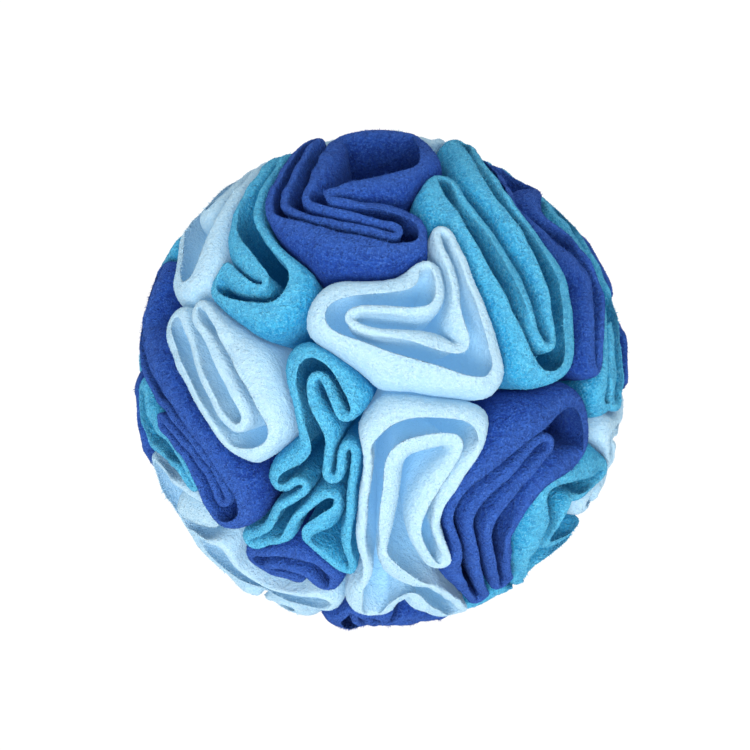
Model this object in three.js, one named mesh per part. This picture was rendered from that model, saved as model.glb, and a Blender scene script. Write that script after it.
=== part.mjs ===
// Dog snuffle ball: rounds of fleece, each pinched at its middle and gathered
// at the middle of the ball, so that its cut rim is thrown into folds on the
// outside. Millimetres, +Z up, the ball resting on z = 0.
import * as THREE from 'three';

// ---- driving sizes ---------------------------------------------------------
const BALL_RADIUS = 75;        // to the cut rims
const CLOTH = 2.4;             // fleece thickness at the rim
const CLEARANCE = 1.85;         // free gap between layers at the rim
const GATHER_RADIUS = 20;      // where the gathered cloth ends, near the middle
const SHOULDER_DEPTH = 10;     // below the rim: where a leaning layer stands out
const FLAT_SPOT_RADIUS = 19;   // the ball is a little flat where it rests
const CHART_TILT = 65;         // degrees: the front chart looks up from the front
const RELAX_STEP = 2.8;        // spacing of the points while the layers settle
const RELAX_ROUNDS = 130;
const SHOULDER_ROUNDS = 80;
const OPEN_GAP = 14;           // a rim this far off doesn't count as the next layer
const LEAN_START = 3;          // layers closer than this stand upright
const LEAN_SHARE = 0.95;       // of the room to the next rim that a layer leans over
const LEAN_MOST = 8.5;
const KEEP_WITHIN = 1.25;      // how closely the few stations kept follow the rim
const CENTRE_HEIGHT = Math.sqrt(BALL_RADIUS ** 2 - FLAT_SPOT_RADIUS ** 2);

const FLEECE = {
  royal: { color: 0x3d62b8, roughness: 0.95, metalness: 0 },
  teal: { color: 0x4fb2dc, roughness: 0.95, metalness: 0 },
  pale: { color: 0xc6e2f2, roughness: 0.95, metalness: 0 },
};

// ---- fold tables -----------------------------------------------------------
// One row for each fold of a round's rim, in order, counter-clockwise. The rim
// is wrapped round the folds like a belt round pulleys: across and up place a
// fold on the chart (mm along the ball from the chart's middle), turn is its
// bend radius (+ where the cloth folds outward, - where it tucks in), and lean
// is how far the shoulder of the run that leaves it stands out past the rim.
// height is how far the round's rim stands past the ball radius.
const FRONT = {
  royal_top: { colour: 'royal', height: 0, folds: [
    { across:  -31.5, up:   57.5, turn:   5.5, lean:   11 },
    { across:      9, up:   44.5, turn:   4.8, lean:    0 },
    { across:    -19, up:     60, turn:    -2, lean:    7 },
    { across:     10, up:     74, turn:     4, lean:    1 },
    { across:      7, up:     99, turn:     6, lean:    1 },
    { across:    -13, up:     99, turn:     6, lean:    0 },
    { across:  -19.5, up:     60, turn:   5.8, lean:    0 },
    { across:      6, up:   44.5, turn:  -1.9, lean:    0 },
    { across:  -31.3, up:     58, turn:    -2, lean:    0 },
    { across:    -28, up:     98, turn:   3.5, lean:    1 },
  ] },
  teal_upper_right: { colour: 'teal', height: 0, folds: [
    { across:     52, up:      7, turn:   5.5, lean:    2 },
    { across:     38, up:     26, turn:    20, lean:    2 },
    { across:     60, up:     72, turn:   -20, lean:    2 },
    { across:     34, up:    102, turn:   2.4, lean:    6 },
    { across:     60, up:     72, turn:    24, lean:    7 },
    { across:     38, up:     26, turn:   -16, lean:    7 },
    { across:     51, up:     11, turn:  -2.2, lean:    0 },
    { across:   20.5, up:     68, turn:     3, lean:    9 },
  ] },
  pale_middle: { colour: 'pale', height: 0.5, folds: [
    { across:     29, up:    3.5, turn:   3.5, lean:  1.5 },
    { across:   18.4, up:     45, turn:   2.6, lean:    1 },
    { across:     24, up:      9, turn:  -2.5, lean:    0 },
    { across:    -10, up:     18, turn:  -1.8, lean:    5 },
    { across:   12.5, up:   24.5, turn:     4, lean:    2 },
    { across:   13.7, up:   34.3, turn:   1.8, lean:    3 },
    { across:    8.4, up:   28.4, turn:  -3.6, lean:   -2 },
    { across:  -11.5, up:   18.3, turn:     5, lean:   11 },
  ] },
  pale_low: { colour: 'pale', height: 0, folds: [
    { across:      9, up:    -23, turn:    13, lean:  1.5 },
    { across:     14, up:    -46, turn:    20, lean:  1.5 },
    { across:     -3, up:    -86, turn:   2.4, lean:    0 },
    { across:     10, up:    -76, turn:    -5, lean:    0 },
    { across:     31, up:    -90, turn:   4.5, lean:    3 },
    { across:     14, up:    -44, turn: -15.5, lean:    5 },
    { across:    9.5, up:  -23.5, turn:  -8.8, lean:    5 },
    { across:   20.8, up:  -18.0, turn:  -4.4, lean:    3 },
    { across:     19, up:    -45, turn:     8, lean:    3 },
    { across:   21.5, up:  -57.5, turn:   2.2, lean:  1.5 },
    { across:     21, up:    -44, turn:    -4, lean:  1.5 },
    { across:     22, up:    -17, turn:   6.5, lean:    3 },
  ] },
  royal_low_right: { colour: 'royal', height: -1, folds: [
    { across:     62, up:    -23, turn:     8, lean:    3 },
    { across:     62, up:    -11, turn:   3.5, lean:   11 },
    { across:   28.7, up:    -41, turn:   8.6, lean:    3 },
    { across:     40, up:    -90, turn:   2.4, lean:    0 },
    { across:     36, up:    -44, turn:  -7.5, lean:    1 },
    { across:     54, up:    -19, turn:  -1.9, lean:    1 },
    { across:     42, up:    -48, turn:     8, lean:    1 },
    { across:     49, up:    -80, turn:   2.4, lean:    1 },
    { across:     47, up:    -53, turn:    -6, lean:    2 },
    { across:     58, up:    -37, turn:    -5, lean:    2 },
  ] },
  teal_middle: { colour: 'teal', height: -3, folds: [
    { across:  -19.5, up:    2.5, turn:   5.8, lean:    1 },
    { across:     -9, up:     -5, turn:    16, lean:    1 },
    { across:    -24, up:  -20.5, turn:  -4.6, lean:    1 },
    { across:    -32, up:  -33.3, turn:   1.9, lean:    0 },
    { across:  -23.5, up:    -31, turn:  -1.9, lean:    0 },
    { across:    -27, up:  -43.5, turn:   5.5, lean:    2 },
    { across:    -38, up:  -46.5, turn:    -4, lean:    1 },
    { across:  -47.5, up:    -60, turn:   1.9, lean:    0 },
    { across:    -38, up:  -46.5, turn:   7.7, lean:    0 },
    { across:    -27, up:  -43.5, turn:  -1.8, lean:    0 },
    { across:    -13, up:    -36, turn:  -1.8, lean:    0 },
    { across:    -24, up:  -48.5, turn:   2.5, lean:    1 },
    { across:    -11, up:    -66, turn:   2.2, lean:    1 },
    { across:   -9.3, up:    -20, turn:   2.3, lean:    0 },
    { across:  -14.5, up:  -30.5, turn:  -1.9, lean:    0 },
    { across:    -24, up:    -20, turn:   8.0, lean:    0 },
    { across:    -10, up:     -5, turn: -11.8, lean:    1 },
    { across:    -19, up:    1.5, turn:  -2.2, lean:    0 },
    { across:    -10, up:  -11.5, turn:   1.9, lean:    9 },
  ] },
  pale_left: { colour: 'pale', height: -0.5, folds: [
    { across:  -44.5, up:    -14, turn:   6.8, lean:    2 },
    { across:    -37, up:  -15.5, turn:   4.6, lean:    7 },
    { across:  -59.5, up:     24, turn:   2.1, lean:    4 },
    { across:  -42.5, up:  -12.5, turn:  -2.6, lean:    4 },
    { across:    -69, up:     21, turn:   2.1, lean:  1.5 },
  ] },
  royal_left: { colour: 'royal', height: -0.5, folds: [
    { across:    -52, up:  -39.5, turn:   7.6, lean:    7 },
    { across:    -86, up:     22, turn:    -9, lean:    9 },
    { across:    -99, up:     50, turn:   2.4, lean:    0 },
    { across:    -86, up:     22, turn:    14, lean:    0 },
    { across:  -52.2, up:  -39.3, turn:  -3.6, lean:    0 },
    { across:    -66, up:    -35, turn:    10, lean:    0 },
    { across:    -79, up:    -13, turn:   2.0, lean:    0 },
    { across:    -69, up:    -33, turn:  -8.7, lean:    1 },
  ] },
  teal_left: { colour: 'teal', height: -2, folds: [
    { across:    -66, up:    -38, turn:   2.4, lean:    1 },
    { across:    -74, up:    -31, turn:     7, lean:    1 },
    { across:    -81, up:     -8, turn:   -12, lean:    1 },
    { across:  -98.5, up:     -4, turn:   2.6, lean:    1 },
    { across:    -84, up:    -12, turn:    17, lean:    1 },
    { across:    -80, up:    -27, turn:   2.2, lean:    0 },
    { across:    -73, up:    -29, turn:  -2.5, lean:    0 },
  ] },
  pale_low_left: { colour: 'pale', height: -1.5, folds: [
    { across:    -91, up:  -39.5, turn:     8, lean:    2 },
    { across:    -80, up:    -60, turn:    18, lean:    2 },
    { across:    -22, up:    -84, turn:     5, lean:    2 },
    { across:    -46, up:    -67, turn:   -11, lean:    1 },
    { across:    -60, up:    -62, turn:     3, lean:    1 },
    { across:    -80, up:    -57, turn:    -2, lean:    1 },
    { across:  -59.5, up:    -50, turn:   3.6, lean:    3 },
  ] },
  royal_low_left: { colour: 'royal', height: -3, folds: [
    { across:    -24, up:    -69, turn:   6.5, lean:    7 },
    { across:    -44, up:    -69, turn:     6, lean:    1 },
    { across:    -30, up:    -73, turn:   1.9, lean:    0 },
    { across:  -42.5, up:  -69.2, turn:  -1.9, lean:    0 },
    { across:    -27, up:  -69.3, turn:    -2, lean:    0 },
    { across:  -20.5, up:    -76, turn:   2.2, lean:    5 },
  ] },
  teal_low_right: { colour: 'teal', height: -1.5, folds: [
    { across:     57, up:    -38, turn:     3, lean:   11 },
    { across:     50, up:    -51, turn:  -9.5, lean:   11 },
    { across:     62, up:    -64, turn:   6.5, lean:    6 },
    { across:     72, up:    -96, turn:     5, lean:    1 },
    { across:     84, up:    -68, turn:     7, lean:    1 },
    { across:     67, up:    -60, turn:    -4, lean:    0 },
    { across:     71, up:  -46.5, turn:  -4.5, lean:    0 },
    { across:     94, up:  -39.5, turn:     3, lean:    8 },
  ] },
  teal_right: { colour: 'teal', height: -1.5, folds: [
    { across:     99, up:    -10, turn:   3.6, lean:    1 },
    { across:     88, up:     35, turn:    17, lean:    1 },
    { across:     78, up:     77, turn:     5, lean:    2 },
    { across:     77, up:     37, turn:   -13, lean:    2 },
    { across:     84, up:     -7, turn:   3.4, lean:    0 },
    { across:     92, up:     24, turn:    -2, lean:    0 },
  ] },
  royal_upper_right: { colour: 'royal', height: -1.5, folds: [
    { across:     73, up:     38, turn:    -8, lean:    6 },
    { across:     84, up:     22, turn:     7, lean:    6 },
    { across:     77, up:      4, turn:   2.0, lean:    0 },
    { across:     84, up:     22, turn:  -3.2, lean:    0 },
    { across:     73, up:     38, turn:    12, lean:    1 },
    { across:     66, up:     64, turn:    -5, lean:    1 },
    { across:     65, up:     84, turn:     6, lean:    1 },
    { across:     49, up:     94, turn:     5, lean:    2 },
    { across:     51, up:     65, turn:   5.5, lean:    6 },
  ] },
  teal_upper_left: { colour: 'teal', height: -1.5, folds: [
    { across:  -53.5, up:     31, turn:     3, lean:   11 },
    { across:    -35, up:     31, turn:     8, lean:    5 },
    { across:  -38.5, up:     57, turn:  -5.5, lean:    1 },
    { across:    -44, up:    103, turn:     3, lean:    0 },
    { across:  -38.5, up:     57, turn:    12, lean:    6 },
    { across:  -35.5, up:   30.5, turn:  -3.2, lean:    0 },
    { across:  -51.5, up:     38, turn:     3, lean:    2 },
  ] },
  pale_upper_left: { colour: 'pale', height: -1.5, folds: [
    { across:  -69.4, up:     37, turn:   3.6, lean:    8 },
    { across:  -54.6, up:    104, turn:     3, lean:    0 },
    { across:    -70, up:     68, turn:    -2, lean:    0 },
    { across:  -62.5, up:    108, turn:   2.8, lean:    0 },
    { across:    -80, up:     73, turn:     4, lean:    2 },
  ] },
};

// Rounds of the far side and the underside: each takes the fold pattern of a
// front round, spun and perhaps flipped, and is fitted into the room left for
// it there. across and up are on the far chart, spin is in degrees.
const UNDER = [
  { name: 'pale_top_edge', colour: 'pale', like: 'pale_left', across:    -4, up:   112, spin:   80, flip: false },
  { name: 'royal_bottom_edge', colour: 'royal', like: 'royal_left', across:     4, up:  -116, spin:  150, flip: false },
  { name: 'pale_right_edge', colour: 'pale', like: 'pale_low', across:   -98, up:   -38, spin:   20, flip: true },
  { name: 'teal_far_top', colour: 'teal', like: 'teal_upper_right', across:   -54, up:    96, spin:   40, flip: true },
  { name: 'royal_far_right', colour: 'royal', like: 'royal_top', across:  -100, up:    24, spin:  120, flip: false },
  { name: 'teal_far_low', colour: 'teal', like: 'teal_low_right', across:   -52, up:   -92, spin:    0, flip: true },
  { name: 'pale_far_left', colour: 'pale', like: 'pale_upper_left', across:    55, up:    93, spin:    0, flip: false },
  { name: 'teal_far_left', colour: 'teal', like: 'teal_upper_left', across:   102, up:    32, spin:   30, flip: false },
  { name: 'royal_near_left', colour: 'royal', like: 'royal_upper_right', across:   102, up:   -34, spin:   60, flip: true },
  { name: 'pale_near_low', colour: 'pale', like: 'pale_low', across:    62, up:   -92, spin:  100, flip: false },
  { name: 'royal_under_top', colour: 'royal', like: 'royal_low_right', across:     2, up:    60, spin:   10, flip: true },
  { name: 'teal_under_left', colour: 'teal', like: 'teal_low_right', across:    59, up:    16, spin:   75, flip: false },
  { name: 'pale_under_right', colour: 'pale', like: 'pale_middle', across:   -52, up:    28, spin:  200, flip: false },
  { name: 'royal_under_low', colour: 'royal', like: 'royal_top', across:    34, up:   -42, spin:  300, flip: true },
  { name: 'teal_under_low', colour: 'teal', like: 'teal_upper_right', across:   -36, up:   -42, spin:   90, flip: false },
  { name: 'pale_sole', colour: 'pale', like: 'pale_left', across:     2, up:     4, spin:   20, flip: false },
];

// ---- charts: mm along the ball from the chart's middle -> unit vector --------
const tilt = THREE.MathUtils.degToRad(CHART_TILT);
const chartUp = new THREE.Vector3(0, Math.sin(tilt), Math.cos(tilt));
const frontChart = { out: new THREE.Vector3(0, -Math.cos(tilt), Math.sin(tilt)), across: new THREE.Vector3(1, 0, 0), up: chartUp };
const farChart = { out: frontChart.out.clone().negate(), across: new THREE.Vector3(-1, 0, 0), up: chartUp };

function onBall(chart, across, up) {
  const arc = Math.hypot(across, up), angle = arc / BALL_RADIUS;
  const k = arc > 1e-9 ? Math.sin(angle) / arc : 0;
  return chart.out.clone().multiplyScalar(Math.cos(angle))
    .addScaledVector(chart.across, across * k).addScaledVector(chart.up, up * k).normalize();
}

function chartAt(out) {
  const up = new THREE.Vector3(0, 0, 1).addScaledVector(out, -out.z);
  if (up.length() < 0.05) up.set(0, 1, 0).addScaledVector(out, -out.y);
  up.normalize();
  return { out, up, across: new THREE.Vector3().crossVectors(up, out).normalize() };
}

// ---- a rim wrapped round its folds -------------------------------------------
function wrapRim(folds) {
  const n = folds.length, heading = [];
  for (let i = 0; i < n; i++) {
    const a = folds[i], b = folds[(i + 1) % n];
    const dx = b.across - a.across, dy = b.up - a.up;
    const lift = THREE.MathUtils.clamp((b.turn - a.turn) / Math.hypot(dx, dy), -1, 1);
    heading.push(Math.atan2(dy, dx) - Math.asin(lift));
  }
  const rim = [];
  const add = (x, y, lean) => rim.push({ x, y, lean });
  for (let i = 0; i < n; i++) {
    const fold = folds[i], before = folds[(i + n - 1) % n], next = folds[(i + 1) % n];
    const from = heading[(i + n - 1) % n], to = heading[i];
    let sweep = (to - from) % (2 * Math.PI);
    if (sweep < 0) sweep += 2 * Math.PI;
    if (fold.turn < 0) sweep -= 2 * Math.PI;
    if (Math.abs(sweep) > 1.72 * Math.PI) sweep -= Math.sign(sweep) * 2 * Math.PI;
    const parts = Math.max(1, Math.ceil(Math.abs(sweep * fold.turn)));
    for (let k = 0; k <= parts; k++) {
      const f = k / parts, t = from + sweep * f;
      add(fold.across + fold.turn * Math.sin(t), fold.up - fold.turn * Math.cos(t), before.lean + (fold.lean - before.lean) * f);
    }
    const start = rim[rim.length - 1];
    const endX = next.across + next.turn * Math.sin(to), endY = next.up - next.turn * Math.cos(to);
    const steps = Math.floor(Math.hypot(endX - start.x, endY - start.y) / 1.5);
    for (let k = 1; k <= steps; k++) {
      const f = k / (steps + 1);
      add(start.x + (endX - start.x) * f, start.y + (endY - start.y) * f, fold.lean);
    }
  }
  return rim;
}

// evenly spaced points along a closed rim on the ball
function evenly(points, leans, spacing) {
  const n = points.length, length = [0];
  for (let i = 0; i < n; i++) length.push(length[i] + points[i].distanceTo(points[(i + 1) % n]) * BALL_RADIUS);
  const count = Math.max(24, Math.round(length[n] / spacing));
  const out = { points: [], leans: [] };
  for (let k = 0, i = 0; k < count; k++) {
    const s = (k / count) * length[n];
    while (length[i + 1] < s) i++;
    const f = (s - length[i]) / Math.max(1e-9, length[i + 1] - length[i]), j = (i + 1) % n;
    out.points.push(points[i].clone().lerp(points[j], f).normalize());
    out.leans.push(leans[i] + (leans[j] - leans[i]) * f);
  }
  return out;
}

// ---- the far rounds are fitted into the room left for them --------------------
function hullReach(shape, angle) {
  // how far the convex outline of the shape reaches along the angle
  let reach = 0;
  const cx = Math.cos(angle), cy = Math.sin(angle);
  for (const a of shape) for (const b of shape) {
    const ca = a.x * cy - a.y * cx, cb = b.x * cy - b.y * cx;
    if (ca * cb > 0 || ca === cb) continue;
    const f = ca / (ca - cb);
    reach = Math.max(reach, (a.x + (b.x - a.x) * f) * cx + (a.y + (b.y - a.y) * f) * cy);
  }
  return reach;
}

function fitRound(row, taken, centres) {
  const rim = wrapRim(FRONT[row.like].folds);
  const mid = rim.reduce((m, p) => ({ x: m.x + p.x / rim.length, y: m.y + p.y / rim.length }), { x: 0, y: 0 });
  const spin = THREE.MathUtils.degToRad(row.spin), c = Math.cos(spin), s = Math.sin(spin);
  let shape = rim.map((p) => {
    const x = (p.x - mid.x) * (row.flip ? -1 : 1), y = p.y - mid.y;
    return { x: x * c - y * s, y: x * s + y * c, lean: p.lean };
  });
  if (row.flip) shape = shape.reverse();
  const outline = shape.filter((p, i) => i % 3 === 0);
  const here = centres.get(row.name), chart = chartAt(here);
  const BINS = 72, room = [], reach = [];
  for (let b = 0; b < BINS; b++) {
    const angle = (b / BINS) * 2 * Math.PI;
    let r = 4;
    for (; r < 52; r += 1) {
      const p = onBall(chart, r * Math.cos(angle), r * Math.sin(angle));
      const own = p.distanceTo(here);
      if ([...centres.values()].some((q) => q !== here && p.distanceTo(q) < own)) break;
      if (taken.some((q) => p.distanceTo(q) * BALL_RADIUS < 4)) break;
    }
    room.push(r - 2.2);
    reach.push(Math.max(6, hullReach(outline, angle)));
  }
  const smooth = (list) => list.map((v, i) => {
    let sum = 0;
    for (let d = -2; d <= 2; d++) sum += Math.min(v, list[(i + d + BINS) % BINS]);
    return sum / 5;
  });
  const fit = smooth(room.map((v, i) => v / reach[i]));
  const points = shape.map((p) => {
    const angle = (Math.atan2(p.y, p.x) / (2 * Math.PI) + 1) % 1 * BINS;
    const i = Math.floor(angle) % BINS, f = angle - Math.floor(angle);
    const k = fit[i] + (fit[(i + 1) % BINS] - fit[i]) * f;
    return onBall(chart, p.x * k, p.y * k);
  });
  return { points, leans: shape.map((p) => p.lean * 0.6) };
}

// ---- settling: layers that crowd each other move apart -------------------------
// All the rims lie on one sphere. Where two runs come closer than the cloth and
// its clearance, both give way, and each run stays smooth and evenly spaced.
function settle(rounds, rounds_, pull, apart, stiff) {
  const all = [];
  rounds.forEach((round, r) => round.points.forEach((p, i) => all.push({ p, r, i, n: round.points.length, weight: round.weight })));
  const cell = 5, key = (x, y, z) => (Math.floor(x / cell) + 64) * 16384 + (Math.floor(y / cell) + 64) * 128 + Math.floor(z / cell) + 64;
  for (let turn = 0; turn < rounds_; turn++) {
    const grid = new Map();
    all.forEach((a, index) => {
      const k = key(a.p.x * BALL_RADIUS, a.p.y * BALL_RADIUS, a.p.z * BALL_RADIUS);
      if (!grid.has(k)) grid.set(k, []);
      grid.get(k).push(index);
    });
    const move = all.map(() => new THREE.Vector3()), count = all.map(() => 0);
    all.forEach((a, index) => {
      const X = a.p.x * BALL_RADIUS, Y = a.p.y * BALL_RADIUS, Z = a.p.z * BALL_RADIUS;
      for (let dx = -1; dx <= 1; dx++) for (let dy = -1; dy <= 1; dy++) for (let dz = -1; dz <= 1; dz++) {
        const list = grid.get(key(X + dx * cell, Y + dy * cell, Z + dz * cell));
        if (!list) continue;
        for (const other of list) {
          if (other <= index) continue;
          const b = all[other];
          if (a.r === b.r) {
            const gap = Math.abs(a.i - b.i), along = Math.min(gap, a.n - gap) * rounds[a.r].spacing;
            if (along < 1.75 * apart) continue;
          }
          const dist = a.p.distanceTo(b.p) * BALL_RADIUS;
          if (dist >= apart || dist < 1e-6) continue;
          const push = a.p.clone().sub(b.p).multiplyScalar(((apart - dist) / dist) * 0.5);
          const share = 2 * b.weight / (a.weight + b.weight);
          move[index].addScaledVector(push, share); count[index]++;
          move[other].addScaledVector(push, share - 2); count[other]++;
        }
      }
    });
    all.forEach((a, index) => { if (count[index]) a.p.addScaledVector(move[index], 1 / Math.max(1, count[index] * 0.6)); });
    rounds.forEach((round) => {
      const n = round.points.length, moved = [];
      for (let i = 0; i < n; i++) {
        const before = round.points[(i + n - 1) % n], after = round.points[(i + 1) % n], p = round.points[i];
        const even = before.clone().add(after).multiplyScalar(0.5).sub(p);
        const step = even.multiplyScalar(stiff);
        if (pull) step.addScaledVector(pull(round, i).sub(p), 0.06);
        moved.push(step);
      }
      for (let i = 0; i < n; i++) round.points[i].add(moved[i]).normalize();
    });
  }
}

// ---- overlap: layers lie over like petals ----------------------------------------
// Each layer leans away from its round's middle, in under the next rim, so that
// its face shows between the two rims.
function overlapLeans(rounds) {
  const targets = [];
  for (const { points } of rounds) points.forEach((p, i) => {
    const next = points[(i + 1) % points.length];
    targets.push(p, p.clone().lerp(next, 1 / 3), p.clone().lerp(next, 2 / 3));
  });
  return rounds.map(({ points, leans }) => {
    const n = points.length, side = sideways(points, points.map((p, i) => i), 2);
    const middle = points.reduce((m, p) => m.add(p), new THREE.Vector3()).normalize();
    let made = points.map((p, i) => {
      const away = p.clone().sub(middle);
      away.addScaledVector(p, -away.dot(p)).normalize();
      const facing = THREE.MathUtils.clamp(side[i].dot(away) * 2.5, -1, 1);
      const step = side[i].clone().multiplyScalar(Math.sign(facing));
      let gap = OPEN_GAP;
      for (const q of targets) {
        const dx = (q.x - p.x) * BALL_RADIUS, dy = (q.y - p.y) * BALL_RADIUS, dz = (q.z - p.z) * BALL_RADIUS;
        const along = dx * step.x + dy * step.y + dz * step.z;
        if (along < 2.5 || along >= gap) continue;
        if (dx * dx + dy * dy + dz * dz - along * along <= 2.25) gap = along;
      }
      const reach = THREE.MathUtils.clamp((gap - LEAN_START) * LEAN_SHARE, 0, LEAN_MOST) * Math.abs(facing);
      return facing > 0 ? Math.max(leans[i], reach) : -reach;
    });
    for (let turn = 0; turn < 3; turn++) made = made.map((v, i) => (made[(i + n - 1) % n] + 2 * v + made[(i + 1) % n]) / 4);
    return made;
  });
}

// ---- stations: the few points of a rim that keep its shape ----------------------
function missedBy(points, from, to, i) {
  const n = points.length, a = points[from % n], here = points[i % n];
  const chord = points[to % n].clone().sub(a), v = here.clone().sub(a);
  const off = v.clone().addScaledVector(chord, -THREE.MathUtils.clamp(v.dot(chord) / chord.lengthSq(), 0, 1));
  // sag towards the ball's middle counts for less than a sideways miss
  const radial = off.dot(here);
  return Math.hypot(off.addScaledVector(here, -radial).length(), radial * 0.35) * BALL_RADIUS;
}

function keepStations(points, shoulder) {
  const n = points.length, kept = new Set([0, Math.floor(n / 3), Math.floor((2 * n) / 3)]);
  const split = (from, to) => {
    const far = { d: 0, i: -1 };
    for (let i = from + 1; i < to; i++) {
      const d = Math.max(missedBy(points, from, to, i), missedBy(shoulder, from, to, i) * 0.85);
      if (d > far.d) { far.d = d; far.i = i; }
    }
    if (far.d > KEEP_WITHIN) { kept.add(far.i % n); split(from, far.i); split(far.i, to); }
  };
  const seeds = [...kept].sort((a, b) => a - b);
  seeds.forEach((s, k) => split(s, k + 1 < seeds.length ? seeds[k + 1] : n + seeds[0]));
  return [...kept].sort((a, b) => a - b);
}

// unit normals across the rim, in the ball's surface, pointing out of the round
function sideways(points, at, reach) {
  const n = points.length;
  return at.map((i) => {
    const t = points[(i + reach) % n].clone().sub(points[(i - reach + n) % n]);
    return new THREE.Vector3().crossVectors(t, points[i]).normalize();
  });
}

// ---- one round of fleece: a folded cone with a rounded-over shoulder -----------
function cutAtFloor(direction, radius) {
  return direction.z < 0 ? Math.min(radius, CENTRE_HEIGHT / -direction.z) : radius;
}

function roundGeometry(round) {
  const stations = keepStations(round.points, round.shoulder);
  const rimSide = sideways(round.points, stations, 1), shoulderSide = sideways(round.shoulder, stations, 1);
  const half = CLOTH / 2 / BALL_RADIUS, position = [], index = [], m = 6;
  stations.forEach((i, k) => {
    const rim = round.points[i], shoulder = round.shoulder[i];
    const ring = [];
    for (const side of [1, -1]) {
      const top = rim.clone().addScaledVector(rimSide[k], side * half).normalize();
      const mid = shoulder.clone().addScaledVector(shoulderSide[k], side * half).normalize();
      const topRadius = cutAtFloor(top, BALL_RADIUS + round.height);
      const midRadius = Math.min(cutAtFloor(mid, BALL_RADIUS + round.height) - SHOULDER_DEPTH, topRadius - SHOULDER_DEPTH * 0.7);
      ring.push([top, topRadius], [mid, midRadius], [mid, GATHER_RADIUS]);
    }
    const loop = [ring[0], ring[1], ring[2], ring[5], ring[4], ring[3]];
    for (const [direction, radius] of loop) position.push(direction.x * radius, direction.y * radius, direction.z * radius + CENTRE_HEIGHT);
  });
  const n = stations.length;
  for (let k = 0; k < n; k++) for (let j = 0; j < m; j++) {
    const a = k * m + j, b = k * m + ((j + 1) % m), c = ((k + 1) % n) * m + ((j + 1) % m), d = ((k + 1) % n) * m + j;
    index.push(a, b, c, a, c, d);
  }
  const geometry = new THREE.BufferGeometry();
  geometry.setAttribute('position', new THREE.Float32BufferAttribute(position, 3));
  geometry.setIndex(index);
  geometry.computeVertexNormals();
  return geometry;
}

// ---- assembly -------------------------------------------------------------------
const rounds = [];
for (const [name, { colour, height, folds }] of Object.entries(FRONT)) {
  const rim = wrapRim(folds);
  const even = evenly(rim.map((p) => onBall(frontChart, p.x, p.y)), rim.map((p) => p.lean), RELAX_STEP);
  rounds.push({ name, colour, height, weight: 2.5, spacing: RELAX_STEP, ...even });
}
const taken = rounds.flatMap((round) => round.points.filter((p, i) => i % 2 === 0));
const centres = new Map(UNDER.map((row) => [row.name, onBall(farChart, row.across, row.up)]));
for (const row of UNDER) {
  const fitted = fitRound(row, taken, centres);
  rounds.push({ name: row.name, colour: row.colour, height: -1, weight: 1, spacing: RELAX_STEP, ...evenly(fitted.points, fitted.leans, RELAX_STEP) });
}
for (const round of rounds) round.home = round.points.map((p) => p.clone());
settle(rounds, RELAX_ROUNDS, (round, i) => round.home[i].clone(), CLOTH + CLEARANCE, 0.12);

const leans = overlapLeans(rounds);
const shoulders = rounds.map((round, r) => ({ ...round, leans: leans[r], points: round.points.map((p) => p.clone()) }));
shoulders.forEach((shoulder, r) => {
  const side = sideways(rounds[r].points, rounds[r].points.map((p, i) => i), 2);
  shoulder.home = rounds[r].points.map((p, i) => p.clone().addScaledVector(side[i], shoulder.leans[i] / BALL_RADIUS).normalize());
});
settle(shoulders, SHOULDER_ROUNDS, (round, i) => round.home[i].clone(), CLOTH + CLEARANCE, 0.12);

const ball = new THREE.Group();
rounds.forEach((round, r) => {
  const mesh = new THREE.Mesh(
    roundGeometry({ ...round, shoulder: shoulders[r].points }),
    new THREE.MeshStandardMaterial(FLEECE[round.colour]),
  );
  mesh.name = 'fleece_' + round.name;
  ball.add(mesh);
});

// the box of the finished ball stands centred over the origin
const box = new THREE.Box3().setFromObject(ball), middle = box.getCenter(new THREE.Vector3());
for (const mesh of ball.children) mesh.geometry.translate(-middle.x, -middle.y, 0);

export default ball;
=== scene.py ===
# Dog snuffle ball: rounds of fleece gathered at the middle of the ball.
# The folds come from the same tables as the CAD; lengths in millimetres here,
# metres in Blender.
import math

import bpy
import numpy as np
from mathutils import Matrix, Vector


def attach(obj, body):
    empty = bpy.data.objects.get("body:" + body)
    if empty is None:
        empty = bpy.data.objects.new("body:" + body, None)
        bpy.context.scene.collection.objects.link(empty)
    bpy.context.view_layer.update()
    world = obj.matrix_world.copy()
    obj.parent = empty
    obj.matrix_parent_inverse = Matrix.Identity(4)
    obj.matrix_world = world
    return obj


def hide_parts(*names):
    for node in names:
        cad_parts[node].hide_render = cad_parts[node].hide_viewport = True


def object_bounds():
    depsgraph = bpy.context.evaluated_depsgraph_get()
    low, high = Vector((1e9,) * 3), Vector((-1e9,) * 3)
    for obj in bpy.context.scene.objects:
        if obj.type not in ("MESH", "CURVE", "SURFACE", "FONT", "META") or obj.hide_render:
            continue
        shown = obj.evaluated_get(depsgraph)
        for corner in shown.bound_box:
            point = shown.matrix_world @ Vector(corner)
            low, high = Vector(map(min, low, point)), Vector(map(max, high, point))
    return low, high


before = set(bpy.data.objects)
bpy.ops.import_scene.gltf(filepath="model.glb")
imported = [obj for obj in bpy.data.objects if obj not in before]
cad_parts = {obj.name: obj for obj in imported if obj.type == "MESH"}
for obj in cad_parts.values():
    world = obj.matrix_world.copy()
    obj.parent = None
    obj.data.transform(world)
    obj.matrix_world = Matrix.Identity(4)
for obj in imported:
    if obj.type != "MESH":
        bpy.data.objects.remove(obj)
cad_box = [list(c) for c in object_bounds()]

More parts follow.
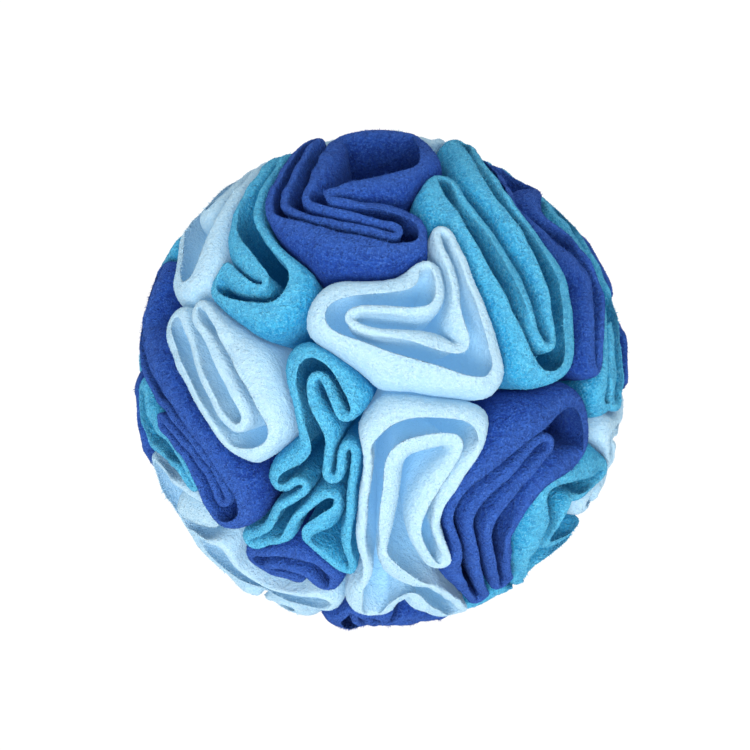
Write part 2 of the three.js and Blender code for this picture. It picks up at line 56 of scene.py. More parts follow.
# ---- driving sizes, as in the CAD ------------------------------------------
BALL_RADIUS = 75.0
CLOTH = 2.4
CLEARANCE = 1.85
GATHER_RADIUS = 20.0
PINCH_RADIUS = 12.0  # the looks follow the pinched cloth this far in, so no light shows through
SHOULDER_DEPTH = 10.0
FLAT_SPOT_RADIUS = 19.0
CHART_TILT = 65.0
RELAX_STEP = 2.8
RELAX_ROUNDS = 130
SHOULDER_ROUNDS = 80
OPEN_GAP = 14.0
LEAN_START = 3.0
LEAN_SHARE = 0.95
LEAN_MOST = 8.5
FOLD_START = 5.0  # a fold narrower than this stays as it is
FOLD_SHARE = 0.5
FOLD_MOST = 4.5
CENTRE_HEIGHT = math.sqrt(BALL_RADIUS**2 - FLAT_SPOT_RADIUS**2)

# ---- sizes of the visual cloth ----------------------------------------------
FINE_STEP = 1.15        # along the rim
PILE = 0.35             # the pile makes the cloth this much thicker than the CAD's
CAMERA_AWAY = 900.0
BALL_MIDDLE_PX = (380.2, 380.4)
BALL_RADIUS_PX = 250.0
SEED = 11
FIBRES_AT_RIM = 4.0     # for each square millimetre
FIBRES_ON_FACE = 0.75
FIBRE_LENGTH = 1.6
FIBRE_WIDTH = 0.22

# name: (colour, height, [(across, up, turn, lean), ...])
FRONT = {
    "royal_top": ("royal", 0, [
        (-31.5, 57.5, 5.5, 11),
        (9, 44.5, 4.8, 0),
        (-19, 60, -2, 7),
        (10, 74, 4, 1),
        (7, 99, 6, 1),
        (-13, 99, 6, 0),
        (-19.5, 60, 5.8, 0),
        (6, 44.5, -1.9, 0),
        (-31.3, 58, -2, 0),
        (-28, 98, 3.5, 1),
    ]),
    "teal_upper_right": ("teal", 0, [
        (52, 7, 5.5, 2),
        (38, 26, 20, 2),
        (60, 72, -20, 2),
        (34, 102, 2.4, 6),
        (60, 72, 24, 7),
        (38, 26, -16, 7),
        (51, 11, -2.2, 0),
        (20.5, 68, 3, 9),
    ]),
    "pale_middle": ("pale", 0.5, [
        (29, 3.5, 3.5, 1.5),
        (18.4, 45, 2.6, 1),
        (24, 9, -2.5, 0),
        (-10, 18, -1.8, 5),
        (12.5, 24.5, 4, 2),
        (13.7, 34.3, 1.8, 3),
        (8.4, 28.4, -3.6, -2),
        (-11.5, 18.3, 5, 11),
    ]),
    "pale_low": ("pale", 0, [
        (9, -23, 13, 1.5),
        (14, -46, 20, 1.5),
        (-3, -86, 2.4, 0),
        (10, -76, -5, 0),
        (31, -90, 4.5, 3),
        (14, -44, -15.5, 5),
        (9.5, -23.5, -8.8, 5),
        (20.8, -18.0, -4.4, 3),
        (19, -45, 8, 3),
        (21.5, -57.5, 2.2, 1.5),
        (21, -44, -4, 1.5),
        (22, -17, 6.5, 3),
    ]),
    "royal_low_right": ("royal", -1, [
        (62, -23, 8, 3),
        (62, -11, 3.5, 11),
        (28.7, -41, 8.6, 3),
        (40, -90, 2.4, 0),
        (36, -44, -7.5, 1),
        (54, -19, -1.9, 1),
        (42, -48, 8, 1),
        (49, -80, 2.4, 1),
        (47, -53, -6, 2),
        (58, -37, -5, 2),
    ]),
    "teal_middle": ("teal", -3, [
        (-19.5, 2.5, 5.8, 1),
        (-9, -5, 16, 1),
        (-24, -20.5, -4.6, 1),
        (-32, -33.3, 1.9, 0),
        (-23.5, -31, -1.9, 0),
        (-27, -43.5, 5.5, 2),
        (-38, -46.5, -4, 1),
        (-47.5, -60, 1.9, 0),
        (-38, -46.5, 7.7, 0),
        (-27, -43.5, -1.8, 0),
        (-13, -36, -1.8, 0),
        (-24, -48.5, 2.5, 1),
        (-11, -66, 2.2, 1),
        (-9.3, -20, 2.3, 0),
        (-14.5, -30.5, -1.9, 0),
        (-24, -20, 8.0, 0),
        (-10, -5, -11.8, 1),
        (-19, 1.5, -2.2, 0),
        (-10, -11.5, 1.9, 9),
    ]),
    "pale_left": ("pale", -0.5, [
        (-44.5, -14, 6.8, 2),
        (-37, -15.5, 4.6, 7),
        (-59.5, 24, 2.1, 4),
        (-42.5, -12.5, -2.6, 4),
        (-69, 21, 2.1, 1.5),
    ]),
    "royal_left": ("royal", -0.5, [
        (-52, -39.5, 7.6, 7),
        (-86, 22, -9, 9),
        (-99, 50, 2.4, 0),
        (-86, 22, 14, 0),
        (-52.2, -39.3, -3.6, 0),
        (-66, -35, 10, 0),
        (-79, -13, 2.0, 0),
        (-69, -33, -8.7, 1),
    ]),
    "teal_left": ("teal", -2, [
        (-66, -38, 2.4, 1),
        (-74, -31, 7, 1),
        (-81, -8, -12, 1),
        (-98.5, -4, 2.6, 1),
        (-84, -12, 17, 1),
        (-80, -27, 2.2, 0),
        (-73, -29, -2.5, 0),
    ]),
    "pale_low_left": ("pale", -1.5, [
        (-91, -39.5, 8, 2),
        (-80, -60, 18, 2),
        (-22, -84, 5, 2),
        (-46, -67, -11, 1),
        (-60, -62, 3, 1),
        (-80, -57, -2, 1),
        (-59.5, -50, 3.6, 3),
    ]),
    "royal_low_left": ("royal", -3, [
        (-24, -69, 6.5, 7),
        (-44, -69, 6, 1),
        (-30, -73, 1.9, 0),
        (-42.5, -69.2, -1.9, 0),
        (-27, -69.3, -2, 0),
        (-20.5, -76, 2.2, 5),
    ]),
    "teal_low_right": ("teal", -1.5, [
        (57, -38, 3, 11),
        (50, -51, -9.5, 11),
        (62, -64, 6.5, 6),
        (72, -96, 5, 1),
        (84, -68, 7, 1),
        (67, -60, -4, 0),
        (71, -46.5, -4.5, 0),
        (94, -39.5, 3, 8),
    ]),
    "teal_right": ("teal", -1.5, [
        (99, -10, 3.6, 1),
        (88, 35, 17, 1),
        (78, 77, 5, 2),
        (77, 37, -13, 2),
        (84, -7, 3.4, 0),
        (92, 24, -2, 0),
    ]),
    "royal_upper_right": ("royal", -1.5, [
        (73, 38, -8, 6),
        (84, 22, 7, 6),
        (77, 4, 2.0, 0),
        (84, 22, -3.2, 0),
        (73, 38, 12, 1),
        (66, 64, -5, 1),
        (65, 84, 6, 1),
        (49, 94, 5, 2),
        (51, 65, 5.5, 6),
    ]),
    "teal_upper_left": ("teal", -1.5, [
        (-53.5, 31, 3, 11),
        (-35, 31, 8, 5),
        (-38.5, 57, -5.5, 1),
        (-44, 103, 3, 0),
        (-38.5, 57, 12, 6),
        (-35.5, 30.5, -3.2, 0),
        (-51.5, 38, 3, 2),
    ]),
    "pale_upper_left": ("pale", -1.5, [
        (-69.4, 37, 3.6, 8),
        (-54.6, 104, 3, 0),
        (-70, 68, -2, 0),
        (-62.5, 108, 2.8, 0),
        (-80, 73, 4, 2),
    ]),
}
# name, colour, like, across, up, spin, flip
UNDER = [
    ("pale_top_edge", "pale", "pale_left", -4, 112, 80, False),
    ("royal_bottom_edge", "royal", "royal_left", 4, -116, 150, False),
    ("pale_right_edge", "pale", "pale_low", -98, -38, 20, True),
    ("teal_far_top", "teal", "teal_upper_right", -54, 96, 40, True),
    ("royal_far_right", "royal", "royal_top", -100, 24, 120, False),
    ("teal_far_low", "teal", "teal_low_right", -52, -92, 0, True),
    ("pale_far_left", "pale", "pale_upper_left", 55, 93, 0, False),
    ("teal_far_left", "teal", "teal_upper_left", 102, 32, 30, False),
    ("royal_near_left", "royal", "royal_upper_right", 102, -34, 60, True),
    ("pale_near_low", "pale", "pale_low", 62, -92, 100, False),
    ("royal_under_top", "royal", "royal_low_right", 2, 60, 10, True),
    ("teal_under_left", "teal", "teal_low_right", 59, 16, 75, False),
    ("pale_under_right", "pale", "pale_middle", -52, 28, 200, False),
    ("royal_under_low", "royal", "royal_top", 34, -42, 300, True),
    ("teal_under_low", "teal", "teal_upper_right", -36, -42, 90, False),
    ("pale_sole", "pale", "pale_left", 2, 4, 20, False),
]


# ---- charts -------------------------------------------------------------------
def unit(v):
    return v / np.linalg.norm(v, axis=-1, keepdims=True)


TILT = math.radians(CHART_TILT)
CHART_UP = np.array([0, math.sin(TILT), math.cos(TILT)])
FRONT_CHART = (np.array([0, -math.cos(TILT), math.sin(TILT)]), np.array([1.0, 0, 0]), CHART_UP)
FAR_CHART = (-FRONT_CHART[0], np.array([-1.0, 0, 0]), CHART_UP)


def on_ball(chart, across, up):
    out, a, u = chart
    across, up = np.asarray(across, float), np.asarray(up, float)
    arc = np.hypot(across, up)
    angle = arc / BALL_RADIUS
    k = np.sin(angle) / np.maximum(arc, 1e-9)
    return unit(np.cos(angle)[..., None] * out + (across * k)[..., None] * a + (up * k)[..., None] * u)


def chart_at(out):
    up = np.array([0, 0, 1.0]) - out * out[2]
    if np.linalg.norm(up) < 0.05:
        up = np.array([0, 1.0, 0]) - out * out[1]
    up = unit(up)
    return out, unit(np.cross(up, out)), up


# ---- a rim wrapped round its folds ----------------------------------------------
def wrap_rim(folds):
    n = len(folds)
    heading = []
    for i in range(n):
        (ax, ay, ar, _), (bx, by, br, _) = folds[i], folds[(i + 1) % n]
        dx, dy = bx - ax, by - ay
        lift = max(-1.0, min(1.0, (br - ar) / math.hypot(dx, dy)))
        heading.append(math.atan2(dy, dx) - math.asin(lift))
    rim = []
    for i in range(n):
        x, y, turn, lean = folds[i]
        before, after = folds[i - 1], folds[(i + 1) % n]
        start, to = heading[i - 1], heading[i]
        sweep = math.fmod(to - start, 2 * math.pi)
        if sweep < 0:
            sweep += 2 * math.pi
        if turn < 0:
            sweep -= 2 * math.pi
        if abs(sweep) > 1.72 * math.pi:
            sweep -= math.copysign(2 * math.pi, sweep)
        parts = max(1, math.ceil(abs(sweep * turn)))
        for k in range(parts + 1):
            f = k / parts
            t = start + sweep * f
            rim.append((x + turn * math.sin(t), y - turn * math.cos(t), before[3] + (lean - before[3]) * f))
        sx, sy, _ = rim[-1]
        ex, ey = after[0] + after[2] * math.sin(to), after[1] - after[2] * math.cos(to)
        steps = int(math.hypot(ex - sx, ey - sy) / 1.5)
        for k in range(1, steps + 1):
            f = k / (steps + 1)
            rim.append((sx + (ex - sx) * f, sy + (ey - sy) * f, lean))
    return np.array(rim)


def evenly(points, leans, spacing):
    seg = np.linalg.norm(np.roll(points, -1, 0) - points, axis=1) * BALL_RADIUS
    length = np.concatenate([[0], np.cumsum(seg)])
    count = max(24, int(length[-1] / spacing + 0.5))
    s = np.arange(count) / count * length[-1]
    ring = np.vstack([points, points[:1]])
    out = np.stack([np.interp(s, length, ring[:, k]) for k in range(3)], axis=1)
    return unit(out), np.interp(s, length, np.append(leans, leans[0]))


# ---- the far rounds are fitted into the room left for them -------------------------
def hull_reach(shape, angle):
    c, s = math.cos(angle), math.sin(angle)
    cross = shape[:, 0] * s - shape[:, 1] * c
    along = shape[:, 0] * c + shape[:, 1] * s
    a, b = np.nonzero(cross > 0)[0], np.nonzero(cross < 0)[0]
    if not len(a) or not len(b):
        return 0.0
    f = cross[a][:, None] / (cross[a][:, None] - cross[b][None, :])
    return max(0.0, float((along[a][:, None] * (1 - f) + along[b][None, :] * f).max()))


def fit_round(row, taken, centres):
    name, _, like, _, _, spin, flip = row
    rim = wrap_rim(FRONT[like][2])
    x, y = rim[:, 0] - rim[:, 0].mean(), rim[:, 1] - rim[:, 1].mean()
    if flip:
        x = -x
    c, s = math.cos(math.radians(spin)), math.sin(math.radians(spin))
    shape = np.stack([x * c - y * s, x * s + y * c, rim[:, 2]], axis=1)
    if flip:
        shape = shape[::-1]
    outline = shape[::3]
    here = centres[name]
    others = np.array([q for k, q in centres.items() if k != name])
    chart = chart_at(here)
    bins = 72
    room, reach = [], []
    for b in range(bins):
        angle = b / bins * 2 * math.pi
        r = 4.0
        while r < 52:
            p = on_ball(chart, r * math.cos(angle), r * math.sin(angle))
            if np.linalg.norm(others - p, axis=1).min() < np.linalg.norm(p - here):
                break
            if np.linalg.norm(taken - p, axis=1).min() * BALL_RADIUS < 4:
                break
            r += 1
        room.append(r - 2.2)
        reach.append(max(6.0, hull_reach(outline, angle)))
    ratio = np.array(room) / np.array(reach)
    fit = sum(np.minimum(ratio, np.roll(ratio, d)) for d in (-2, -1, 0, 1, 2)) / 5
    at = (np.arctan2(shape[:, 1], shape[:, 0]) / (2 * math.pi) + 1) % 1 * bins
    i = at.astype(int) % bins
    k = fit[i] + (fit[(i + 1) % bins] - fit[i]) * (at - np.floor(at))
    return on_ball(chart, shape[:, 0] * k, shape[:, 1] * k), shape[:, 2] * 0.6


# ---- settling: layers that crowd each other move apart ------------------------------
def settle(rings, weights, homes, turns, apart, stiff, spacing, pull=0.06):
    sizes = [len(r) for r in rings]
    first = np.concatenate([[0], np.cumsum(sizes)])
    p = np.vstack(rings)
    home = np.vstack(homes)
    who = np.repeat(np.arange(len(rings)), sizes)
    place = np.concatenate([np.arange(s) for s in sizes])
    size = np.repeat(sizes, sizes)
    weight = np.repeat(weights, sizes)
    before = np.concatenate([first[k] + (np.arange(s) - 1) % s for k, s in enumerate(sizes)])
    after = np.concatenate([first[k] + (np.arange(s) + 1) % s for k, s in enumerate(sizes)])
    limit = 1 - (apart / BALL_RADIUS) ** 2 / 2
    for _ in range(turns):
        q = p.astype(np.float32)
        near = np.argwhere(np.triu(q @ q.T > limit - 1e-6, 1))
        a, b = near[:, 0], near[:, 1]
        gap = np.abs(place[a] - place[b])
        along = np.minimum(gap, size[a] - gap) * spacing
        keep = (who[a] != who[b]) | (along >= 1.75 * apart)
        a, b = a[keep], b[keep]
        d = p[a] - p[b]
        dist = np.linalg.norm(d, axis=1) * BALL_RADIUS
        keep = (dist < apart) & (dist > 1e-6)
        a, b, d, dist = a[keep], b[keep], d[keep], dist[keep]
        push = d * ((apart - dist) / dist * 0.5)[:, None]
        share = (2 * weight[b] / (weight[a] + weight[b]))[:, None]
        move, count = np.zeros_like(p), np.zeros(len(p))
        np.add.at(move, a, push * share)
        np.add.at(move, b, push * (share - 2))
        np.add.at(count, a, 1)
        np.add.at(count, b, 1)
        p = p + move / np.maximum(1, count * 0.6)[:, None]
        p = unit(p + stiff * ((p[before] + p[after]) / 2 - p) + pull * (home - p))
    return [p[first[k]:first[k + 1]] for k in range(len(rings))]


def sideways(ring, reach):
    return unit(np.cross(np.roll(ring, -reach, 0) - np.roll(ring, reach, 0), ring))


def finer(ring, factor):
    """Each gap of a closed ring is cut into factor parts on a smooth curve."""
    p0, p1, p2, p3 = np.roll(ring, 1, 0), ring, np.roll(ring, -1, 0), np.roll(ring, -2, 0)
    out = []
    for k in range(factor):
        t = k / factor
        out.append(
            0.5 * (2 * p1 + (p2 - p0) * t + (2 * p0 - 5 * p1 + 4 * p2 - p3) * t**2 + (3 * p1 - p0 - 3 * p2 + p3) * t**3)
        )
    return np.stack(out, axis=1).reshape(len(ring) * factor, *ring.shape[1:])


def soft_noise(rng, n, wave):
    """A smooth closed random curve of n values, about -1 to 1, over waves of that many values."""
    k = max(4, int(round(n / wave)))
    seed = rng.uniform(-1, 1, k)
    at = np.arange(n) / n * k
    i = at.astype(int)
    t = at - i
    a, b, c, d = seed[(i - 1) % k], seed[i % k], seed[(i + 1) % k], seed[(i + 2) % k]
    return 0.5 * (2 * b + (c - a) * t + (2 * a - 5 * b + 4 * c - d) * t**2 + (3 * b - a - 3 * c + d) * t**3)


# ---- the rims -------------------------------------------------------------------------
names, colours, heights, weights, rings, leans = [], [], [], [], [], []
for name, (colour, height, folds) in FRONT.items():
    rim = wrap_rim(folds)
    ring, lean = evenly(on_ball(FRONT_CHART, rim[:, 0], rim[:, 1]), rim[:, 2], RELAX_STEP)
    names.append(name)
    colours.append(colour)
    heights.append(height)
    weights.append(2.5)
    rings.append(ring)
    leans.append(lean)
taken = np.vstack([r[::2] for r in rings])
centres = {row[0]: on_ball(FAR_CHART, row[3], row[4]) for row in UNDER}
for row in UNDER:
    pts, lean = fit_round(row, taken, centres)
    ring, lean = evenly(pts, lean, RELAX_STEP)
    names.append(row[0])
    colours.append(row[1])
    heights.append(-1.0)
    weights.append(1.0)
    rings.append(ring)
    leans.append(lean)

rims = settle(rings, weights, rings, RELAX_ROUNDS, CLOTH + CLEARANCE, 0.12, RELAX_STEP)


def overlap_leans(rims, leans):
    """Layers lie over like petals: each leans away from its round's middle, under the next rim."""
    targets = np.vstack([finer(r, 3) for r in rims])
    out = []
    for ring, lean in zip(rims, leans):
        side = sideways(ring, 2)
        middle = unit(ring.mean(0))
        away = ring - middle
        away = unit(away - ring * (away * ring).sum(1)[:, None])
        facing = np.clip((side * away).sum(1) * 2.5, -1, 1)
        step = side * np.sign(facing)[:, None]
        d = (targets[None] - ring[:, None]) * BALL_RADIUS
        along = (d * step[:, None]).sum(2)
        beside = np.sqrt(np.maximum(0, (d * d).sum(2) - along**2))
        behind = np.where((beside > 1.5) | (along > -2.5), OPEN_GAP, -along).min(1)
        along[(beside > 1.5) | (along < 2.5)] = OPEN_GAP
        gap = np.minimum(along.min(1), OPEN_GAP)
        reach = np.clip((gap - LEAN_START) * LEAN_SHARE, 0, LEAN_MOST) * np.abs(facing)
        reach = np.where(facing > 0, np.maximum(lean, reach), reach)
        # beside a wide fold with the next layer close outside, the wall slopes into the fold instead
        into = np.clip((np.minimum(behind, OPEN_GAP) - FOLD_START) * FOLD_SHARE, 0, FOLD_MOST) * np.abs(facing)
        made = np.where(into > 1.25 * reach, -into, reach) * np.sign(facing)
        for _ in range(3):
            made = (np.roll(made, 1) + 2 * made + np.roll(made, -1)) / 4
        out.append(made)
    return out


leans = overlap_leans(rims, leans)
wanted = [unit(r + sideways(r, 2) * (l / BALL_RADIUS)[:, None]) for r, l in zip(rims, leans)]
shoulders = settle(rims, weights, wanted, SHOULDER_ROUNDS, CLOTH + CLEARANCE, 0.12, RELAX_STEP)


# ---- one sheet ---------------------------------------------------------------------------
def fleece_round(name, rim, shoulder, height, lean, rng):
    """A closed thin sheet: out over the rim's cut edge and down both sides to the gathers."""
    factor = max(2, int(round(RELAX_STEP / FINE_STEP)))
    rim, shoulder = unit(finer(rim, factor)), unit(finer(shoulder, factor))
    n = len(rim)
    # a layer that lies far over has a deep round shoulder, the others a shallow one
    shelf = np.clip(2.6 + 0.62 * np.abs(np.repeat(lean, factor)), 3.2, SHOULDER_DEPTH)
    half = (CLOTH + PILE) / 2
    wobble = 0.3 * soft_noise(rng, n, 4) + 0.4 * soft_noise(rng, n, 12)
    rise = 0.35 * soft_noise(rng, n, 3) + 0.6 * soft_noise(rng, n, 9) + 0.8 * soft_noise(rng, n, 30)
    side_rim = sideways(rim, 2)
    rim = unit(rim + side_rim * (wobble / BALL_RADIUS)[:, None])
    rim_side, shoulder_side = sideways(rim, 2), sideways(shoulder, 2)
    top = BALL_RADIUS + height + rise

    # rows from the outer face's foot, up over the cut edge, to the inner face's foot
    depths = [0.9, 1.8, 3.0, 4.6, 6.6, 9.0, 12.0, 16.0, 21.0, 28.0, 37.0, BALL_RADIUS - GATHER_RADIUS, BALL_RADIUS - PINCH_RADIUS]
    rows = [(1.0, d) for d in reversed(depths)]
    rows += [(math.cos(t), 0.9 - math.sin(t) * 0.9) for t in np.radians([40, 80, 100, 140])]
    rows += [(-1.0, d) for d in depths]
    waves = [soft_noise(rng, n, w) for w in (7, 9, 13, 11, 17)]

    def dents(depth):
        a = math.sin(depth * 0.55) * waves[0] + math.cos(depth * 0.4) * waves[1]
        return 0.16 * a + 0.24 * (math.sin(depth * 0.21 + 1) * waves[2] + math.cos(depth * 0.17) * waves[3]) + 0.2 * waves[4]

    verts, edge, painted_fold_shade = [], [], []
    for across, depth in rows:
        f = np.sqrt(1 - (1 - np.minimum(depth, shelf) / shelf) ** 2)[:, None]
        middle = unit(rim * (1 - f) + shoulder * f)
        side = unit(rim_side * (1 - f) + shoulder_side * f)
        radius = top - depth * np.ones(n)
        if depth > BALL_RADIUS - GATHER_RADIUS - 0.1:
            radius = (BALL_RADIUS - depth) * np.ones(n)
        thick = half * (0.98 - 0.16 * math.exp(-depth / 2.5)) if depth < 20 else half * 0.85
        thick = thick * np.clip((top - depth) / 45, 0.3, 1)
        fluff = 1 + 0.06 * rng.uniform(-1, 1, n) * math.exp(-depth / 14)
        offset = across * thick * fluff
        if depth < 30:
            offset = offset + dents(depth) * min(1.0, depth / 5)
        p = middle * radius[:, None] + side * offset[:, None]
        verts.append(p)
        edge.append(np.full(n, max(0.0, 1 - depth / 2.2)))
        # painted shade: how far down the fold each row lies, which sets how much of the darker fold colour the material
        # paints there
        painted_fold_shade.append(np.full(n, min(1.0, depth / 30)))
    verts = np.stack(verts)
    verts[..., 2] += CENTRE_HEIGHT
    low = verts[..., 2] < 0
    verts[..., 2][low] = 0.0
    m = len(rows)
    i = np.arange(m)[:, None] * n
    j = np.arange(n)[None, :]
    a = i + j
    b = i + (j + 1) % n
    c = np.roll(a, -1, 0)
    d = np.roll(b, -1, 0)
    faces = np.stack([a, c, d, b], axis=-1).reshape(-1, 4)
    return verts.reshape(-1, 3), faces, np.concatenate(edge), np.concatenate(painted_fold_shade), np.repeat([d for _, d in rows], n)


def make_mesh(name, verts, faces, edge, painted_fold_shade):
    mesh = bpy.data.meshes.new(name)
    mesh.from_pydata((verts / 1000 + SHIFT).tolist(), [], faces.tolist())
    mesh.update()
    # these values set where the material paints the highlight (at the cut edge) and the fold shade (with depth)
    for label, values in (("cut_edge_highlight", edge), ("depth", painted_fold_shade)):
        mesh.attributes.new(label, "FLOAT", "POINT").data.foreach_set("value", values.astype(np.float32))
    mesh.polygons.foreach_set("use_smooth", [True] * len(mesh.polygons))
    obj = bpy.data.objects.new(name, mesh)
    bpy.context.scene.collection.objects.link(obj)
    return obj


# ---- the pile: short fibres that stand off the cloth, most of them along the cut rims --------
FIBRES = {"royal": [], "teal": [], "pale": []}


def grow_pile(colour, verts, faces, depth, rng):
    corner = verts[faces]
    normal = np.cross(corner[:, 2] - corner[:, 0], corner[:, 3] - corner[:, 1])
    area = np.linalg.norm(normal, axis=1) / 2
    normal = normal / np.maximum(2 * area, 1e-9)[:, None]
    d = depth[faces].mean(1)
    dense = np.where(d < 1.6, FIBRES_AT_RIM, np.where(d < 14, FIBRES_ON_FACE, 0)) * area
    count = rng.poisson(dense)
    pick = np.repeat(np.arange(len(faces)), count)
    s, t = rng.uniform(0, 1, (2, len(pick), 1))
    c = corner[pick]
    root = (c[:, 0] * (1 - s) + c[:, 1] * s) * (1 - t) + (c[:, 3] * (1 - s) + c[:, 2] * s) * t
    lay = rng.normal(0, 1, (len(pick), 3))
    way = unit(normal[pick] + 0.75 * unit(lay))
    reach = rng.uniform(0.35, 1.0, (len(pick), 1)) * np.where(d[pick] < 1.6, FIBRE_LENGTH, FIBRE_LENGTH * 0.6)[:, None]
    across = unit(np.cross(way, rng.normal(0, 1, (len(pick), 3)))) * FIBRE_WIDTH / 2
    root = root - way * 0.15
    tri = np.stack([root - across, root + across, root + way * reach], axis=1)
    tri[..., 2] = np.maximum(tri[..., 2], 0)
    FIBRES[colour].append(tri.reshape(-1, 3))


def make_pile(colour):
    verts = np.vstack(FIBRES[colour]) / 1000 + SHIFT
    n = len(verts) // 3
    mesh = bpy.data.meshes.new("pile_" + colour)
    mesh.vertices.add(len(verts))
    mesh.vertices.foreach_set("co", verts.astype(np.float32).ravel())
    mesh.loops.add(3 * n)
    mesh.loops.foreach_set("vertex_index", np.arange(3 * n, dtype=np.int32))
    mesh.polygons.add(n)
    mesh.polygons.foreach_set("loop_start", np.arange(0, 3 * n, 3, dtype=np.int32))
    mesh.update(calc_edges=True)
    shade = np.random.default_rng(SEED + 1).uniform(-1, 1, n)
    shade = np.sign(shade) * np.abs(shade) ** 1.5
    # painted highlight: the fibre tips take the full highlight colour, their roots a little of it
    for label, values in (("cut_edge_highlight", np.tile([0.2, 0.2, 1.0], n)), ("depth", np.zeros(3 * n)), ("fleck", np.repeat(shade, 3))):
        mesh.attributes.new(label, "FLOAT", "POINT").data.foreach_set("value", values.astype(np.float32))
    obj = bpy.data.objects.new("pile_" + colour, mesh)
    bpy.context.scene.collection.objects.link(obj)
    obj.data.materials.append(MATERIALS[colour])
    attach(obj, "root")
    print("fibres", colour, n)
    return n


# ---- fleece ---------------------------------------------------------------------------------
def fleece_material(name, lit, shade, painted_highlight, painted_fold_shade, painted_fold_glow, relief):
    mat = bpy.data.materials.new(name)
    mat.use_nodes = True
    nt = mat.node_tree
    nt.nodes.clear()
    new, link = nt.nodes.new, nt.links.new
    out, bsdf = new("ShaderNodeOutputMaterial"), new("ShaderNodeBsdfPrincipled")
    link(bsdf.outputs[0], out.inputs[0])
    bsdf.inputs["Roughness"].default_value = 0.95
    bsdf.inputs["Specular IOR Level"].default_value = 0.12
    bsdf.inputs["Sheen Weight"].default_value = 0.35
    bsdf.inputs["Sheen Roughness"].default_value = 0.5
    bsdf.inputs["Sheen Tint"].default_value = (*painted_highlight, 1)
    coord = new("ShaderNodeTexCoord")

    def noise(scale, detail, rough):
        node = new("ShaderNodeTexNoise")
        node.inputs["Scale"].default_value = scale
        node.inputs["Detail"].default_value = detail
        node.inputs["Roughness"].default_value = rough
        link(coord.outputs["Object"], node.inputs["Vector"])
        return node.outputs["Fac"]

    def ramp(value, a, b, ca, cb):
        node = new("ShaderNodeMapRange")
        node.inputs["From Min"].default_value, node.inputs["From Max"].default_value = a, b
        node.inputs["To Min"].default_value, node.inputs["To Max"].default_value = ca, cb
        node.clamp = True
        link(value, node.inputs["Value"])
        return node.outputs["Result"]

    def mix(fac, a, b):
        node = new("ShaderNodeMix")
        node.data_type = "RGBA"
        link(fac, node.inputs["Factor"])
        for socket, value in ((node.inputs["A"], a), (node.inputs["B"], b)):
            if isinstance(value, tuple):
                socket.default_value = (*value, 1)
            else:
                link(value, socket)
        return node.outputs["Result"]

    def attribute(label):
        node = new("ShaderNodeAttribute")
        node.attribute_name = label
        return node.outputs["Fac"]

    nubs = noise(560, 3, 0.75)
    clumps = noise(150, 2, 0.5)
    fibres = noise(1500, 2, 0.8)
    fleck = attribute("fleck")
    cloth = mix(ramp(nubs, 0.4, 0.6, 0, 1), shade, lit)
    cloth = mix(ramp(clumps, 0.35, 0.68, 0, 0.35), cloth, lit)
    # painted highlight and shade at the fibres' scale: fine specks are lighter towards the highlight colour, others
    # darker towards the fold colour
    cloth = mix(ramp(fibres, 0.52, 0.68, 0, 0.7), cloth, painted_highlight)
    cloth = mix(ramp(fibres, 0.46, 0.32, 0, 0.5), cloth, painted_fold_shade)
    # painted highlight: the cloth lightens towards the highlight colour at the cut edge and at the fibre tips
    cloth = mix(ramp(attribute("cut_edge_highlight"), 0, 1, 0, 0.3), cloth, painted_highlight)
    fold_shade_depth = attribute("depth")
    # painted shade: the deeper the cloth lies in a fold, the more it takes the darker, bluer fold colour
    cloth = mix(ramp(fold_shade_depth, 0.03, 0.5, 0, 0.8), cloth, painted_fold_shade)
    # random per-fibre tone: a positive fleck lightens the fibre towards the painted highlight colour, a negative one
    # darkens it towards the painted fold-shade colour
    cloth = mix(ramp(fleck, 0, 1, 0, 0.85), cloth, painted_highlight)
    cloth = mix(ramp(fleck, 0, -1, 0, 0.35), cloth, painted_fold_shade)
    link(cloth, bsdf.inputs["Base Color"])
    # painted light: the folds glow in the fold-shade colour, more the deeper they lie, standing in for daylight that
    # soaks through thin fleece
    bsdf.inputs["Emission Color"].default_value = (*painted_fold_shade, 1)
    link(ramp(fold_shade_depth, 0.02, 0.4, 0, painted_fold_glow), bsdf.inputs["Emission Strength"])
    bump_a, bump_b = new("ShaderNodeBump"), new("ShaderNodeBump")
    bump_a.inputs["Strength"].default_value = 1.0
    bump_a.inputs["Distance"].default_value = relief
    bump_b.inputs["Strength"].default_value = 1.0
    bump_b.inputs["Distance"].default_value = relief * 0.25
    link(nubs, bump_a.inputs["Height"])
    link(fibres, bump_b.inputs["Height"])
    link(bump_a.outputs["Normal"], bump_b.inputs["Normal"])
    link(bump_b.outputs["Normal"], bsdf.inputs["Normal"])
    return mat


def srgb(r, g, b):
    return tuple((v / 255 / 12.92) if v / 255 <= 0.04045 else ((v / 255 + 0.055) / 1.055) ** 2.4 for v in (r, g, b))


# colours: lit, shaded, painted highlight, painted fold shade; then the strength of the painted glow in the folds, and
# the bump height
MATERIALS = {
    "royal": fleece_material("fleece_royal", srgb(40, 84, 175), srgb(24, 56, 140), srgb(78, 122, 206), srgb(16, 42, 122), 0.02, 0.0020),
    "teal": fleece_material("fleece_teal", srgb(63, 178, 224), srgb(24, 138, 194), srgb(128, 214, 243), srgb(6, 116, 176), 0.08, 0.0018),
    "pale": fleece_material("fleece_pale", srgb(173, 208, 229), srgb(157, 198, 225), srgb(198, 226, 239), srgb(156, 207, 236), 0.25, 0.0010),
}

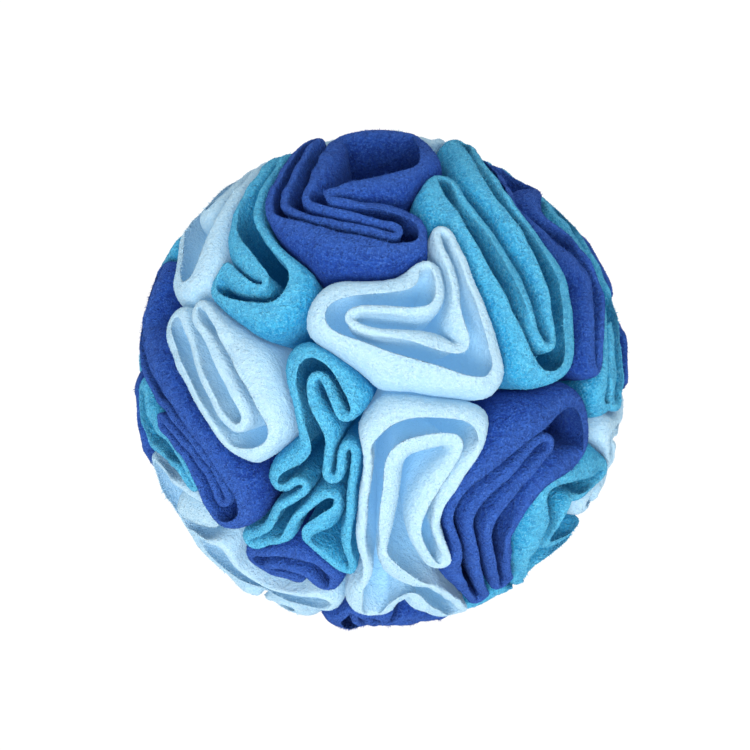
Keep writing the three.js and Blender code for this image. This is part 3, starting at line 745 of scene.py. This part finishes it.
lo, hi = (np.array(c) for c in cad_box)
SHIFT = np.array([0.000061, 0.000506, 0.000000])
rng = np.random.default_rng(SEED)
total = 0
for k, name in enumerate(names):
    node = "fleece_" + name
    verts, faces, edge, painted_fold_shade, depth = fleece_round(name, rims[k], shoulders[k], heights[k], leans[k], rng)
    grow_pile(colours[k], verts, faces, depth, rng)
    obj = make_mesh("round_" + name, verts, faces, edge, painted_fold_shade)
    obj.data.materials.append(MATERIALS[colours[k]])
    total += 2 * len(faces)
    area = sum(p.area for p in obj.data.polygons) / 2
    across = 2 * math.sqrt(area / math.pi)
    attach(obj, "root")
    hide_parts(node)
for colour in FIBRES:
    total += make_pile(colour)
print("triangles", total)

# ---- floor, light, camera ------------------------------------------------------------------------
bpy.ops.mesh.primitive_plane_add(size=6, location=(0, 0, 0))
floor = bpy.context.object
floor.name = "floor"
floor_mat = bpy.data.materials.new("floor")
floor_mat.use_nodes = True
floor_nodes = floor_mat.node_tree.nodes
floor_nodes.clear()
glow, shown = floor_nodes.new("ShaderNodeEmission"), floor_nodes.new("ShaderNodeOutputMaterial")
glow.inputs["Strength"].default_value = 1.05
floor_mat.node_tree.links.new(glow.outputs[0], shown.inputs[0])
floor.data.materials.append(floor_mat)

bpy.context.scene.view_settings.view_transform = "Standard"
world = bpy.data.worlds.new("studio")
bpy.context.scene.world = world
world.use_nodes = True
sky = world.node_tree
ambient = sky.nodes["Background"]
ambient.inputs[0].default_value = (1, 1, 1, 1)
ambient.inputs[1].default_value = 0.58
# the ground behind the ball is plain white paper, brighter than the light that it gives
paper, path, choose = (sky.nodes.new("ShaderNode" + kind) for kind in ("Background", "LightPath", "MixShader"))
paper.inputs[0].default_value = (1, 1, 1, 1)
paper.inputs[1].default_value = 1.05
sky.links.new(path.outputs["Is Camera Ray"], choose.inputs[0])
sky.links.new(ambient.outputs[0], choose.inputs[1])
sky.links.new(paper.outputs[0], choose.inputs[2])
sky.links.new(choose.outputs[0], sky.nodes["World Output"].inputs[0])


def lamp(name, away, azimuth, elevation, size, power):
    a, e = math.radians(azimuth), math.radians(elevation)
    back = np.array([math.sin(a) * math.cos(e), -math.cos(a) * math.cos(e), math.sin(e)])
    data = bpy.data.lights.new(name, "AREA")
    data.shape = "DISK"
    data.size = size
    data.energy = power
    obj = bpy.data.objects.new(name, data)
    obj.location = back * away + np.array([0, 0, CENTRE_HEIGHT / 1000])
    from mathutils import Vector

    obj.rotation_mode = "QUATERNION"
    obj.rotation_quaternion = Vector(-back).to_track_quat("-Z", "Y")
    bpy.context.scene.collection.objects.link(obj)
    return obj


lamp("key", 1.4, -8, 46, 0.7, 17)
lamp("fill", 1.6, 60, 60, 1.0, 5)
lamp("back", 1.8, 200, 30, 1.2, 5)

out, across, up = FRONT_CHART
focal_px = BALL_RADIUS_PX / math.tan(math.asin(BALL_RADIUS / CAMERA_AWAY))
cam_data = bpy.data.cameras.new("camera")
cam_data.sensor_width = 36
cam_data.lens = focal_px / 750 * 36
cam_data.clip_start, cam_data.clip_end = 0.05, 20
camera = bpy.data.objects.new("camera", cam_data)
px = CAMERA_AWAY / focal_px
place = (
    np.array([0, 0, CENTRE_HEIGHT])
    + out * CAMERA_AWAY
    - across * (BALL_MIDDLE_PX[0] - 375) * px
    + up * (BALL_MIDDLE_PX[1] - 375) * px
)
camera.location = place / 1000 + SHIFT
camera.rotation_mode = "XYZ"
camera.rotation_euler = (math.radians(90 - CHART_TILT), 0, 0)
bpy.context.scene.collection.objects.link(camera)
bpy.context.scene.camera = camera
